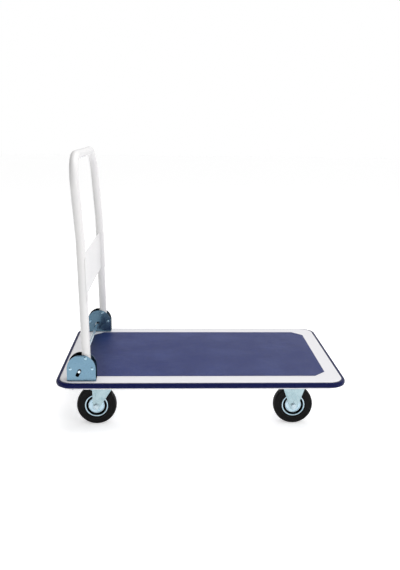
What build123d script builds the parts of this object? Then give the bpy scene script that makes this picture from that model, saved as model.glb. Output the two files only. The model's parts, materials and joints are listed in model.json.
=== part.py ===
from build123d import *
import math
import os

os.makedirs("parts", exist_ok=True)

# A folding platform cart. Origin: on the floor, under the middle of the deck.
# +X runs from the handle end to the load end, +Y across the deck, +Z up. Millimetres.

# ---- driving dimensions ------------------------------------------------------------
# deck
deck_length = 745.0             # over the bumper
deck_width = 483.0              # over the bumper
deck_corner = 43.5              # plan radius over the bumper
pan_corner = 39.0               # plan radius of the steel deck inside the bumper
deck_sheet = 1.5
deck_skirt = 19.0               # deck top to the bottom of the folded skirt
deck_edge_round = 4.0
skirt_return = 8.0              # folded-in lip at the foot of the skirt
# bumper
bumper_thickness = 8.5
bumper_height = 12.5
bumper_drop = 2.0               # deck top to the top of the bumper
bumper_round = 3.0
bumper_rib_height = 2.2
bumper_rib_rise = 0.8
# mat
mat_thickness = 1.2
mat_handle_margin = 55.5        # bumper end to the mat at the handle end
mat_load_margin = 45.5
mat_side_margin = 51.9
mat_corner_cut = 29.7
# under-deck frame
frame_sheet = 2.0
frame_depth = 11.0
frame_flange = 12.0
frame_side_inset = 19.5         # bumper side to the cross members' ends
handle_frame_start = 27.5       # bumper end to the handle-end cross member
handle_frame_width = 141.0
load_frame_width = 104.0
stiffener_width = 40.0
stiffener_spread = 90.0         # deck centre line to each stiffener
frame_clearance = 1.0
# handle brackets
bracket_sheet = 2.0
bracket_end_inset = 32.0        # bumper end to the bracket
bracket_side_inset = 30.5       # bumper side to the bracket's middle
bracket_length = 72.5
bracket_height = 69.5
bracket_bend = 4.0
tube_side_gap = 2.0             # handle tube to each side plate
# handle
tube_diameter = 22.0
tube_wall = 1.2
handle_axis_height = 558.5      # deck top to the middle of the grip bar
handle_corner = 75.0
handle_lean = 1.3               # degrees outward, below the bend
handle_upper_lean = 4.2         # degrees outward, above the bend
handle_bend_height = 355.0      # deck top to the bend in each side tube
handle_bend_radius = 300.0
panel_bottom = 205.0            # deck top to the panel
panel_height = 108.0
panel_sheet = 1.4
panel_wrap_end = 40.0           # degrees past the tube's front
end_plug_length = 12.0
end_plug_flange = 2.0
# pins and lock
pin_radius = 3.0
pin_head_radius = 4.3
pin_head_height = 2.0
pin_head_taper = 30.0           # degrees
bush_wall = 2.0
stop_pin_radius = 4.0
pivot_along = 48.0              # bracket's outer end to the pivot
pivot_height = 61.0             # deck top to the pivot
stop_drop = 27.5                # pivot to the stop pin
spring_pin_along = 9.2
spring_pin_height = 33.0
lock_rod_radius = 4.0
lock_rod_back = 17.2            # pivot to the lock rod, towards the handle end
lock_rod_drop = 35.5            # pivot down to the lock rod
lock_slope = 27.0               # degrees from vertical
lock_travel = 10.0
lock_slot_spare = 3.2           # free slot above the rod at rest
lock_rod_proud = 1.5
lock_rod_chamfer = 0.6
slot_side_gap = 0.5
slot_foot_gap = 0.4             # free slot below the rod when it is pressed down
clip_radius = 6.5
clip_thickness = 0.8
clip_gap = 0.2                  # clip to the bracket's outer plate
spring_wire = 1.6
spring_coil_length = 7.0
spring_coil_spare = 0.2         # coil's extra thickness over its wire
spring_side_gap = 1.5           # coil to the bracket's inner plate
spring_foot_gap = 0.1
spring_arm_overshoot = 4.0
bracket_bolt_first = 11.5       # bracket's outer end to its bolts
bracket_bolt_second = 58.5
bracket_bolt_spare = 9.0        # bolt below its nut
button_head_radius = 7.0
button_head_height = 4.4
button_head_taper = 20.0        # degrees
# fasteners
bolt_radius = 4.0
bolt_head_height = 5.3
nut_height = 6.5
axle_bolt_spare = 2.0           # bolt beyond its nut
caster_bolt_spare = 1.0
hex_across_flats = 13.0
# casters
wheel_radius = 52.0
wheel_track_inset = 73.5        # bumper side to the wheel's middle
fixed_axle_inset = 128.5        # bumper end to the fixed axle
swivel_axis_inset = 114.5       # bumper end to the swivel axis
caster_trail = 15.5
caster_plate_length = 100.0
caster_plate_width = 68.0
caster_plate_sheet = 2.5
caster_plate_corner = 6.0
caster_bolt_pitch_x = 80.0
caster_bolt_pitch_y = 50.0
fork_inside_half = 16.5
fork_sheet = 2.5
fork_emboss = 1.0
fixed_emboss_trim = 4.0         # raised face inside the leg's edge
swivel_emboss_trim = 3.5
leg_root = 2.0
fixed_leg_end_radius = 10.5
fixed_leg_top_half = 35.0
swivel_leg_end_radius = 9.0
crown_sheet = 3.0
crown_length = 64.0
crown_width = 62.0
crown_corner = 28.0
crown_leg_inset = 2.0           # crown's end to the leg's root
leg_back_overlap = 0.5          # leg's root past its eye, so that their outlines cross
flare_height = 6.0
flare_blend = 14.0              # crown down to where the flare meets the leg
crown_clearance = 3.0           # tyre to the crown
cup_outer_radius = 30.5
cup_wall = 2.2
cup_height = 8.0
race_radius = 24.0
ball_radius = 3.0
balls_per_race = 16
race_width = 7.0
race_height = 5.65              # top plate down to the foot of its race
king_pin_radius = 6.0
king_pin_head = 9.0
king_pin_head_height = 2.0
king_pin_taper = 20.0           # degrees
king_pin_gap = 0.1              # lower head to the crown
king_hole_gap = 2.0
# wheels
tyre_width = 27.0
tyre_shoulder_drop = 3.5
tyre_bore_radius = 28.15
bead_gap = 0.5                  # rim's flange to the bead
bead_bevel = 1.5
rim_sheet = 1.2
rim_flange_radius = 30.2
rim_seat_radius = 26.9
rim_groove_inner = 21.5
rim_face_offset = 11.0          # wheel's middle to the rim's face
rim_flange_offset = 12.6
hub_radius = 9.0
sleeve_radius = 6.0
# clearances
fit_gap = 0.05                  # radial, pieces fixed in each other
running_gap = 0.06              # radial, turning pieces
side_gap = 0.4                  # along an axle
free_gap = 0.3                  # curved faces that pass each other
stub_clearance = 0.6            # the handle's lower end swinging past the lock rod

# ---- derived places ----------------------------------------------------------------
# the deck's height is what the casters and the frame add up to
plate_under = (
    2 * wheel_radius + crown_clearance + crown_sheet + fit_gap
    + 2 * ball_radius + free_gap + race_height
)
plate_top = plate_under + caster_plate_sheet
deck_under = plate_top + frame_depth
deck_top = deck_under + deck_sheet
pan_length = deck_length - 2 * bumper_thickness
pan_width = deck_width - 2 * bumper_thickness
pan_bottom = deck_top - deck_skirt
web_bottom = plate_top
web_top = web_bottom + frame_sheet
frame_half_width = deck_width / 2 - frame_side_inset

tube_radius = tube_diameter / 2
bracket_y = deck_width / 2 - bracket_side_inset
bracket_gap = tube_diameter + 2 * tube_side_gap
bracket_width = bracket_gap + 2 * bracket_sheet
bracket_x = -deck_length / 2 + bracket_end_inset
web_face = deck_top + bracket_sheet
pivot_x = bracket_x + pivot_along
pivot_z = deck_top + pivot_height
lean = math.radians(handle_lean)
upper_lean = math.radians(handle_upper_lean)
stop_x = pivot_x + stop_drop * math.tan(lean) + tube_radius / math.cos(lean) + stop_pin_radius + free_gap
stop_z = pivot_z - stop_drop
spring_pin_x = bracket_x + spring_pin_along
spring_pin_z = deck_top + spring_pin_height
rod_x = pivot_x - lock_rod_back
rod_z = pivot_z - lock_rod_drop
slope = math.radians(lock_slope)
slot_radius = lock_rod_radius + slot_side_gap
slot_rise = Vector(math.sin(slope), 0, math.cos(slope))
stub_swing = math.hypot(lock_rod_back, lock_rod_drop) - lock_rod_radius - stub_clearance
stub_length = math.sqrt(stub_swing**2 - tube_radius**2)
bracket_bolt_x = [bracket_x + bracket_bolt_first, bracket_x + bracket_bolt_second]
bracket_bolt_end = web_bottom - nut_height - bracket_bolt_spare
grip_z = deck_top + handle_axis_height
bend_z = deck_top + handle_bend_height

wheel_y = deck_width / 2 - wheel_track_inset
fixed_x = deck_length / 2 - fixed_axle_inset
swivel_x = -deck_length / 2 + swivel_axis_inset
trailing_x = swivel_x - caster_trail
fork_outside_half = fork_inside_half + fork_sheet
outer_face = fork_outside_half + fork_emboss
crown_under = 2 * wheel_radius + crown_clearance
crown_top = crown_under + crown_sheet
ball_z = crown_top + fit_gap + ball_radius
race_under = ball_z + ball_radius + free_gap
hex_radius = hex_across_flats / 2

sides = {"near": -1, "far": 1}
wheels = {
    "fixed_near": (fixed_x, -wheel_y),
    "fixed_far": (fixed_x, wheel_y),
    "swivel_near": (trailing_x, -wheel_y),
    "swivel_far": (trailing_x, wheel_y),
}
caster_centres = [(x, side * wheel_y) for x in (swivel_x, fixed_x) for side in sides.values()]
caster_holes = [
    (x + i * caster_bolt_pitch_x / 2, y + j * caster_bolt_pitch_y / 2)
    for x, y in caster_centres
    for i in (-1, 1)
    for j in (-1, 1)
]
bracket_holes = [(x, side * bracket_y) for x in bracket_bolt_x for side in sides.values()]


def save(shape, name):
    """Labels a finished piece and writes its STEP file."""
    shape.label = name
    export_step(shape, f"parts/{name}.step")


def hat_outline(start, end, depth, gauge):
    """Corners of a hat section in XZ whose flanges lie against the deck's underside."""
    top, floor = deck_under, deck_under - depth
    return [
        (start - frame_flange, top), (start + gauge, top), (start + gauge, floor + gauge),
        (end - gauge, floor + gauge), (end - gauge, top), (end + frame_flange, top),
        (end + frame_flange, top - gauge), (end, top - gauge), (end, floor),
        (start, floor), (start, top - gauge), (start - frame_flange, top - gauge),
    ]


def across(x, z, y=0.0):
    """A plane at (x, y, z) whose normal is +Y, for pieces that lie across the cart."""
    return Plane(origin=(x, y, z), x_dir=(1, 0, 0), z_dir=(0, 1, 0))


# ---- deck --------------------------------------------------------------------------
with BuildPart() as deck_pan:
    with BuildSketch(Plane.XY.offset(pan_bottom)):
        RectangleRounded(pan_length, pan_width, pan_corner)
    extrude(amount=deck_skirt)
    fillet(deck_pan.faces().sort_by(Axis.Z)[-1].edges(), deck_edge_round)
    offset(amount=-deck_sheet, openings=deck_pan.faces().sort_by(Axis.Z)[0])
    with BuildSketch(Plane.XY.offset(pan_bottom)):
        RectangleRounded(pan_length - deck_sheet, pan_width - deck_sheet, pan_corner - deck_sheet / 2)
        lip = deck_sheet + skirt_return
        RectangleRounded(
            pan_length - 2 * lip, pan_width - 2 * lip, pan_corner - lip, mode=Mode.SUBTRACT
        )
    extrude(amount=deck_sheet)
    with BuildSketch(Plane.XY.offset(deck_under)):
        with Locations(*bracket_holes):
            Circle(bolt_radius + fit_gap)
    extrude(amount=deck_sheet, mode=Mode.SUBTRACT)
save(deck_pan.part, "deck_pan")

with BuildPart() as deck_mat:
    mat_start = -deck_length / 2 + mat_handle_margin
    mat_end = deck_length / 2 - mat_load_margin
    with BuildSketch(Plane.XY.offset(deck_top)) as mat_outline:
        with Locations(((mat_start + mat_end) / 2, 0)):
            Rectangle(mat_end - mat_start, deck_width - 2 * mat_side_margin)
        chamfer(mat_outline.vertices(), mat_corner_cut)
    extrude(amount=mat_thickness)
save(deck_mat.part, "deck_mat")

with BuildPart() as bumper_strip:
    bumper_bottom = deck_top - bumper_drop - bumper_height
    body_length = deck_length - 2 * bumper_rib_rise
    body_width = deck_width - 2 * bumper_rib_rise
    with BuildSketch(Plane.XY.offset(bumper_bottom)):
        RectangleRounded(body_length, body_width, deck_corner - bumper_rib_rise)
    extrude(amount=bumper_height)
    fillet(bumper_strip.faces().sort_by(Axis.Z)[-1].edges(), bumper_round)
    fillet(bumper_strip.faces().sort_by(Axis.Z)[0].edges(), bumper_round)
    with BuildSketch(Plane.XY.offset(bumper_bottom + (bumper_height - bumper_rib_height) / 2)):
        RectangleRounded(deck_length, deck_width, deck_corner)
    extrude(amount=bumper_rib_height)
    with BuildSketch(Plane.XY.offset(bumper_bottom)):
        RectangleRounded(pan_length, pan_width, pan_corner)
    extrude(amount=bumper_height, mode=Mode.SUBTRACT)
save(bumper_strip.part, "bumper_strip")

# ---- under-deck frame --------------------------------------------------------------
frame_spans = {
    "crossmember_handle_end": (
        -deck_length / 2 + handle_frame_start,
        -deck_length / 2 + handle_frame_start + handle_frame_width,
    ),
    "crossmember_load_end": (fixed_x - load_frame_width / 2, fixed_x + load_frame_width / 2),
}
for name, (start, end) in frame_spans.items():
    with BuildPart() as crossmember:
        with BuildSketch(Plane.XZ):
            with BuildLine():
                Polyline(*hat_outline(start, end, frame_depth, frame_sheet), close=True)
            make_face()
        extrude(amount=frame_half_width, both=True)
        with BuildSketch(Plane.XY.offset(web_bottom)):
            inset = 2 * deck_edge_round
            RectangleRounded(pan_length - inset, pan_width - inset, pan_corner - deck_edge_round)
        extrude(amount=frame_depth, mode=Mode.INTERSECT)
        with BuildSketch(Plane.XY.offset(web_bottom)):
            with Locations(*[p for p in caster_holes + bracket_holes if start < p[0] < end]):
                Circle(bolt_radius + fit_gap)
            with Locations(*[p for p in caster_centres if p[0] == swivel_x and start < p[0] < end]):
                Circle(king_pin_head + king_hole_gap)
        extrude(amount=frame_sheet, mode=Mode.SUBTRACT)
    save(crossmember.part, name)

with BuildPart() as stiffener_rails:
    rail_start = frame_spans["crossmember_handle_end"][1] + frame_flange + frame_clearance / 2
    rail_end = frame_spans["crossmember_load_end"][0] - frame_flange - frame_clearance / 2
    for side in sides.values():
        rail_plane = Plane(
            origin=(rail_start, side * stiffener_spread, 0), x_dir=(0, 1, 0), z_dir=(1, 0, 0)
        )
        with BuildSketch(rail_plane):
            with BuildLine():
                half = stiffener_width / 2
                Polyline(*hat_outline(-half, half, frame_depth, deck_sheet), close=True)
            make_face()
        extrude(amount=rail_end - rail_start)
save(stiffener_rails.part, "stiffener_rails")

# ---- handle brackets ---------------------------------------------------------------
for side_name, side in sides.items():
    with BuildPart() as bracket:
        section_plane = Plane(
            origin=(bracket_x, side * bracket_y, deck_top), x_dir=(0, 1, 0), z_dir=(1, 0, 0)
        )
        with BuildSketch(section_plane) as channel:
            with Locations((0, bracket_height / 2)):
                Rectangle(bracket_width, bracket_height)
            fillet(channel.vertices().group_by(Axis.Z)[0], bracket_bend)
            with Locations((0, bracket_sheet + bracket_height / 2)):
                RectangleRounded(
                    bracket_gap, bracket_height, bracket_bend - bracket_sheet, mode=Mode.SUBTRACT
                )
            with Locations((0, bracket_height)):
                Rectangle(bracket_gap, bracket_height, mode=Mode.SUBTRACT)
        extrude(amount=bracket_length)
        arch = bracket_length / 2
        with BuildSketch(across(bracket_x + arch, deck_top, side * bracket_y)):
            with Locations((0, -(bracket_height - arch) / 2)):
                Rectangle(bracket_length, bracket_height - arch)
            with Locations((0, -(bracket_height - arch))):
                Circle(arch)
        extrude(amount=bracket_width / 2, both=True, mode=Mode.INTERSECT)
        slot_low = lock_travel + slot_foot_gap
        with BuildSketch(across(rod_x, rod_z, side * bracket_y)):
            low = (-slot_low * slot_rise.X, slot_low * slot_rise.Z)
            high = (lock_slot_spare * slot_rise.X, -lock_slot_spare * slot_rise.Z)
            with Locations(low, high):
                Circle(slot_radius)
            make_hull()
        extrude(amount=bracket_width, both=True, mode=Mode.SUBTRACT)
        for x, z in ((pivot_x, pivot_z), (stop_x, stop_z), (spring_pin_x, spring_pin_z)):
            with BuildSketch(across(x, z, side * bracket_y)):
                Circle(pin_radius + fit_gap)
            extrude(amount=bracket_width, both=True, mode=Mode.SUBTRACT)
        with BuildSketch(Plane.XY.offset(deck_top)):
            with Locations(*[(x, side * bracket_y) for x in bracket_bolt_x]):
                Circle(bolt_radius + fit_gap)
        extrude(amount=bracket_sheet, mode=Mode.SUBTRACT)
    save(bracket.part, f"bracket_{side_name}")

# Rivet-headed pins through both side plates: the pivot is plain, the other two have a shoulder
# that keeps the plates apart.
pin_places = {
    "pivot_pins": (pivot_x, pivot_z, 0.0),
    "stop_pins": (stop_x, stop_z, stop_pin_radius),
    "spring_pins": (spring_pin_x, spring_pin_z, stop_pin_radius),
}
for name, (x, z, shoulder) in pin_places.items():
    with BuildPart() as pins:
        for side in sides.values():
            with BuildSketch(across(x, z, side * bracket_y)):
                Circle(pin_radius)
            extrude(amount=bracket_width / 2 + pin_head_height / 2, both=True)
            if shoulder:
                with BuildSketch(across(x, z, side * bracket_y)):
                    Circle(shoulder)
                extrude(amount=bracket_gap / 2, both=True)
            for end in (-1, 1):
                head_y = side * bracket_y + end * bracket_width / 2
                head_plane = Plane(origin=(x, head_y, z), x_dir=(1, 0, 0), z_dir=(0, end, 0))
                with BuildSketch(head_plane):
                    Circle(pin_head_radius)
                extrude(amount=pin_head_height, taper=pin_head_taper)
    save(pins.part, name)

with BuildPart() as bracket_bolts:
    with BuildSketch(Plane.XY.offset(bracket_bolt_end)):
        with Locations(*bracket_holes):
            Circle(bolt_radius)
    extrude(amount=web_face - bracket_bolt_end)
    with BuildSketch(Plane.XY.offset(web_face)):
        with Locations(*bracket_holes):
            Circle(button_head_radius)
    extrude(amount=button_head_height, taper=button_head_taper)
save(bracket_bolts.part, "bracket_bolts")

with BuildPart() as bracket_nuts:
    with BuildSketch(Plane.XY.offset(web_bottom - nut_height)):
        with Locations(*bracket_holes):
            RegularPolygon(hex_radius, 6, major_radius=False)
            Circle(bolt_radius + fit_gap, mode=Mode.SUBTRACT)
    extrude(amount=nut_height)
save(bracket_nuts.part, "bracket_nuts")

with BuildPart() as bracket_sleeves:
    with BuildSketch(Plane.XY.offset(web_top)):
        with Locations(*bracket_holes):
            Circle(hex_radius)
            Circle(bolt_radius + fit_gap, mode=Mode.SUBTRACT)
    extrude(amount=deck_under - web_top)
save(bracket_sleeves.part, "bracket_sleeves")

# ---- lock --------------------------------------------------------------------------
rod_half = bracket_y + bracket_width / 2 + lock_rod_proud
clip_y = bracket_y + bracket_gap / 2 - clip_thickness - clip_gap
with BuildPart() as lock_rod:
    with BuildSketch(across(rod_x, rod_z)):
        Circle(lock_rod_radius)
    extrude(amount=rod_half, both=True)
    chamfer(lock_rod.edges().filter_by(GeomType.CIRCLE), lock_rod_chamfer)
save(lock_rod.part, "lock_rod")

with BuildPart() as lock_clips:
    for side in sides.values():
        clip_plane = Plane(origin=(rod_x, side * clip_y, rod_z), x_dir=(1, 0, 0), z_dir=(0, side, 0))
        with BuildSketch(clip_plane):
            Circle(clip_radius)
            Circle(lock_rod_radius + fit_gap, mode=Mode.SUBTRACT)
        extrude(amount=clip_thickness)
save(lock_clips.part, "lock_clips")

# Torsion spring: a coil on the spring pin, one arm under the lock rod and one leg on the bracket's web.
coil_inner = stop_pin_radius + free_gap
coil_outer = coil_inner + spring_wire + spring_coil_spare
coil_mean = (coil_inner + coil_outer) / 2
to_rod = Vector(rod_x - spring_pin_x, 0, rod_z - spring_pin_z).normalized()
below = Vector(to_rod.Z, 0, -to_rod.X)
under_rod = lock_rod_radius + free_gap + spring_wire / 2
arm_start = Vector(spring_pin_x, 0, spring_pin_z) + below * coil_mean
arm_end = Vector(rod_x, 0, rod_z) + below * under_rod + to_rod * spring_arm_overshoot
leg_top = Vector(spring_pin_x - coil_mean, 0, spring_pin_z)
for side_name, side in sides.items():
    spring_y = side * (bracket_y - bracket_gap / 2 + spring_side_gap)
    coil_plane = Plane(
        origin=(spring_pin_x, spring_y, spring_pin_z), x_dir=(1, 0, 0), z_dir=(0, side, 0)
    )
    with BuildPart() as lock_spring:
        with BuildSketch(coil_plane):
            Circle(coil_outer)
            Circle(coil_inner, mode=Mode.SUBTRACT)
        extrude(amount=spring_coil_length)
        arm_y = Vector(0, spring_y + side * (spring_coil_length - spring_wire), 0)
        with BuildSketch(Plane(origin=arm_start + arm_y, z_dir=arm_end - arm_start)):
            Circle(spring_wire / 2)
        extrude(amount=(arm_end - arm_start).length)
        leg_y = Vector(0, spring_y + side * spring_wire, 0)
        with BuildSketch(Plane(origin=leg_top + leg_y, z_dir=(0, 0, -1))):
            Circle(spring_wire / 2)
        extrude(amount=spring_pin_z - web_face - spring_foot_gap)
    save(lock_spring.part, f"lock_spring_{side_name}")

# ---- handle ------------------------------------------------------------------------
bend_x = pivot_x - (bend_z - pivot_z) * math.tan(lean)
top_x = bend_x - (grip_z - bend_z) * math.tan(upper_lean)
leg = Vector(-math.sin(lean), 0, math.cos(lean))
foot = Vector(pivot_x, 0, pivot_z) - leg * (stub_length - end_plug_flange)
handle_points = [
    (foot.X, -bracket_y, foot.Z),
    (bend_x, -bracket_y, bend_z),
    (top_x, -bracket_y, grip_z),
    (top_x, bracket_y, grip_z),
    (bend_x, bracket_y, bend_z),
    (foot.X, bracket_y, foot.Z),
]
handle_radii = [handle_bend_radius, handle_corner, handle_corner, handle_bend_radius]
bush_radius = pin_radius + bush_wall
with BuildPart() as handle_tube:
    with BuildLine() as handle_path:
        FilletPolyline(*handle_points, radius=handle_radii)
    with BuildSketch(Plane(origin=handle_points[0], x_dir=(0, 1, 0), z_dir=leg)):
        Circle(tube_radius)
        Circle(tube_radius - tube_wall, mode=Mode.SUBTRACT)
    sweep(path=handle_path.line)
    with BuildSketch(across(pivot_x, pivot_z)):
        Circle(bush_radius + fit_gap)
    extrude(amount=deck_width / 2, both=True, mode=Mode.SUBTRACT)
save(handle_tube.part, "handle_tube")

with BuildPart() as pivot_bushes:
    for side in sides.values():
        with BuildSketch(across(pivot_x, pivot_z, side * bracket_y)):
            Circle(bush_radius)
            Circle(pin_radius + running_gap, mode=Mode.SUBTRACT)
        extrude(amount=bracket_gap / 2 - side_gap / 2, both=True)
save(pivot_bushes.part, "pivot_bushes")

with BuildPart() as handle_end_plugs:
    for side in sides.values():
        tube_end = Vector(foot.X, side * bracket_y, foot.Z)
        plug_end = Plane(origin=tube_end - leg * end_plug_flange, x_dir=(0, 1, 0), z_dir=leg)
        with BuildSketch(plug_end):
            Circle(tube_radius)
        extrude(amount=end_plug_flange)
        with BuildSketch(plug_end.offset(end_plug_flange)):
            Circle(tube_radius - tube_wall - fit_gap)
        extrude(amount=end_plug_length)
save(handle_end_plugs.part, "handle_end_plugs")

# The panel is one sheet between the tubes; each end hooks round the load side of its tube.
panel_rise = panel_bottom - pivot_height
panel_foot = Vector(pivot_x, 0, pivot_z) + leg * (panel_rise / math.cos(lean))
panel_plane = Plane(origin=panel_foot, x_dir=(0, 1, 0), z_dir=leg)
hook_inner = tube_radius + fit_gap
hook_outer = hook_inner + panel_sheet
with BuildPart() as handle_panel:
    with BuildSketch(panel_plane):
        Rectangle(2 * (bracket_y - hook_inner), panel_sheet)
    extrude(amount=panel_height)
    for side in sides.values():
        with BuildSketch(panel_plane):
            with Locations((side * bracket_y, 0)):
                Circle(hook_outer)
                Circle(hook_inner, mode=Mode.SUBTRACT)
            with BuildLine():
                reach = 2 * hook_outer
                turn = math.radians(panel_wrap_end)
                middle = side * bracket_y
                Polyline(
                    (middle, panel_sheet / 2),
                    (middle - side * reach, panel_sheet / 2),
                    (middle - side * reach, -reach),
                    (middle + side * reach * math.sin(turn), -reach * math.cos(turn)),
                    close=True,
                )
            make_face(mode=Mode.INTERSECT)
        extrude(amount=panel_height)
save(handle_panel.part, "handle_panel")

# ---- casters -----------------------------------------------------------------------
def caster_plate_sketch(centre_x, centre_y, king_hole):
    """Adds a caster's top plate outline, with its bolt holes, to the sketch being drawn."""
    with Locations((centre_x, centre_y)):
        RectangleRounded(caster_plate_length, caster_plate_width, caster_plate_corner)
        if king_hole:
            Circle(king_hole, mode=Mode.SUBTRACT)
        with GridLocations(caster_bolt_pitch_x, caster_bolt_pitch_y, 2, 2):
            Circle(bolt_radius + fit_gap, mode=Mode.SUBTRACT)


def leg_outline(end_radius, back, front, height):
    """Adds a fork leg's outline, from the axle's eye up to its root, to the sketch being drawn."""
    Circle(end_radius)
    with Locations(((back + front) / 2, leg_root / 2 - height)):
        Rectangle(front - back, leg_root)
    make_hull()


for side_name, side in sides.items():
    with BuildPart() as fixed_fork:
        leg_height = plate_under - wheel_radius
        for half_width, trim in ((fork_outside_half, 0.0), (outer_face, fixed_emboss_trim)):
            with BuildSketch(across(fixed_x, wheel_radius, side * wheel_y)):
                leg_half = fixed_leg_top_half - trim
                leg_outline(fixed_leg_end_radius - trim / 2, -leg_half, leg_half, leg_height)
            extrude(amount=half_width, both=True)
        with BuildSketch(Plane.XY.offset(wheel_radius - fixed_leg_end_radius)):
            with Locations((fixed_x, side * wheel_y)):
                Rectangle(caster_plate_length, 2 * fork_inside_half)
        extrude(amount=leg_height + fixed_leg_end_radius - fork_sheet, mode=Mode.SUBTRACT)
        with BuildSketch(Plane.XY.offset(plate_under)):
            caster_plate_sketch(fixed_x, side * wheel_y, 0)
        extrude(amount=caster_plate_sheet)
        with BuildSketch(across(fixed_x, wheel_radius, side * wheel_y)):
            Circle(bolt_radius + fit_gap)
        extrude(amount=2 * fork_outside_half, both=True, mode=Mode.SUBTRACT)
    save(fixed_fork.part, f"fixed_fork_{side_name}")

    with BuildPart() as swivel_plate:
        with BuildSketch(Plane.XY.offset(plate_under)):
            caster_plate_sketch(swivel_x, side * wheel_y, king_pin_radius + fit_gap)
        extrude(amount=caster_plate_sheet)
        with BuildSketch(Plane.XY.offset(race_under)):
            with Locations((swivel_x, side * wheel_y)):
                Circle(race_radius + race_width / 2)
                Circle(race_radius - race_width / 2, mode=Mode.SUBTRACT)
        extrude(amount=plate_under - race_under)
    save(swivel_plate.part, f"swivel_plate_{side_name}")

    with BuildPart() as swivel_fork:
        leg_height = crown_under + crown_sheet / 2 - wheel_radius
        crown_end = crown_length / 2
        for half_width, trim in ((fork_outside_half, 0.0), (outer_face, swivel_emboss_trim)):
            with BuildSketch(across(trailing_x, wheel_radius, side * wheel_y)):
                eye = swivel_leg_end_radius - trim / 2
                root_end = caster_trail + crown_end - crown_leg_inset - trim
                leg_outline(eye, -eye - leg_back_overlap, root_end, leg_height)
            extrude(amount=half_width, both=True)
        # the leg's trailing edge flares out towards the crown's end
        with BuildSketch(across(trailing_x, wheel_radius, side * wheel_y)):
            flare_end = caster_trail - crown_end + crown_leg_inset
            flare_root = 2 * leg_back_overlap - swivel_leg_end_radius
            with Locations(((flare_end + flare_root) / 2, flare_height / 2 - leg_height)):
                Rectangle(flare_root - flare_end, flare_height)
            with Locations((flare_root - leg_back_overlap, flare_blend / 2 - leg_height)):
                Rectangle(2 * leg_back_overlap, flare_blend)
            make_hull()
        extrude(amount=fork_outside_half, both=True)
        with BuildSketch(Plane.XY.offset(wheel_radius - swivel_leg_end_radius)):
            with Locations((swivel_x, side * wheel_y)):
                Rectangle(2 * crown_length, 2 * fork_inside_half)
        extrude(amount=crown_under - wheel_radius + swivel_leg_end_radius, mode=Mode.SUBTRACT)
        with BuildSketch(Plane.XY.offset(crown_under)):
            with Locations((swivel_x, side * wheel_y)):
                RectangleRounded(crown_length, crown_width, crown_corner)
        extrude(amount=crown_sheet)
        with BuildSketch(Plane.XY.offset(crown_top)):
            with Locations((swivel_x, side * wheel_y)):
                Circle(cup_outer_radius)
                Circle(cup_outer_radius - cup_wall, mode=Mode.SUBTRACT)
        extrude(amount=cup_height)
        with BuildSketch(Plane.XY.offset(crown_under)):
            with Locations((swivel_x, side * wheel_y)):
                Circle(king_pin_radius + running_gap)
        extrude(amount=crown_sheet, mode=Mode.SUBTRACT)
        with BuildSketch(across(trailing_x, wheel_radius, side * wheel_y)):
            Circle(bolt_radius + fit_gap)
        extrude(amount=2 * fork_outside_half, both=True, mode=Mode.SUBTRACT)
    save(swivel_fork.part, f"swivel_fork_{side_name}")

    with BuildPart() as swivel_balls:
        with Locations((swivel_x, side * wheel_y, ball_z)):
            with PolarLocations(race_radius, balls_per_race):
                Sphere(ball_radius)
    save(swivel_balls.part, f"swivel_balls_{side_name}")

with BuildPart() as king_pins:
    pin_foot = crown_under - king_pin_gap - king_pin_head_height
    centres = [(swivel_x, side * wheel_y) for side in sides.values()]
    with BuildSketch(Plane.XY.offset(pin_foot)):
        with Locations(*centres):
            Circle(king_pin_head)
    extrude(amount=king_pin_head_height)
    with BuildSketch(Plane.XY.offset(pin_foot)):
        with Locations(*centres):
            Circle(king_pin_radius)
    extrude(amount=plate_top - pin_foot)
    with BuildSketch(Plane.XY.offset(plate_top)):
        with Locations(*centres):
            Circle(king_pin_head)
    extrude(amount=king_pin_head_height, taper=king_pin_taper)
save(king_pins.part, "king_pins")

with BuildPart() as caster_bolts:
    bolt_length = web_top + nut_height - plate_under + caster_bolt_spare
    with BuildSketch(Plane.XY.offset(plate_under - bolt_head_height)):
        with Locations(*caster_holes):
            RegularPolygon(hex_radius, 6, major_radius=False)
    extrude(amount=bolt_head_height)
    with BuildSketch(Plane.XY.offset(plate_under)):
        with Locations(*caster_holes):
            Circle(bolt_radius)
    extrude(amount=bolt_length)
save(caster_bolts.part, "caster_bolts")

with BuildPart() as caster_weld_nuts:
    with BuildSketch(Plane.XY.offset(web_top)):
        with Locations(*caster_holes):
            RegularPolygon(hex_radius, 6, major_radius=False)
            Circle(bolt_radius + fit_gap, mode=Mode.SUBTRACT)
    extrude(amount=nut_height)
save(caster_weld_nuts.part, "caster_weld_nuts")

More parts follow.
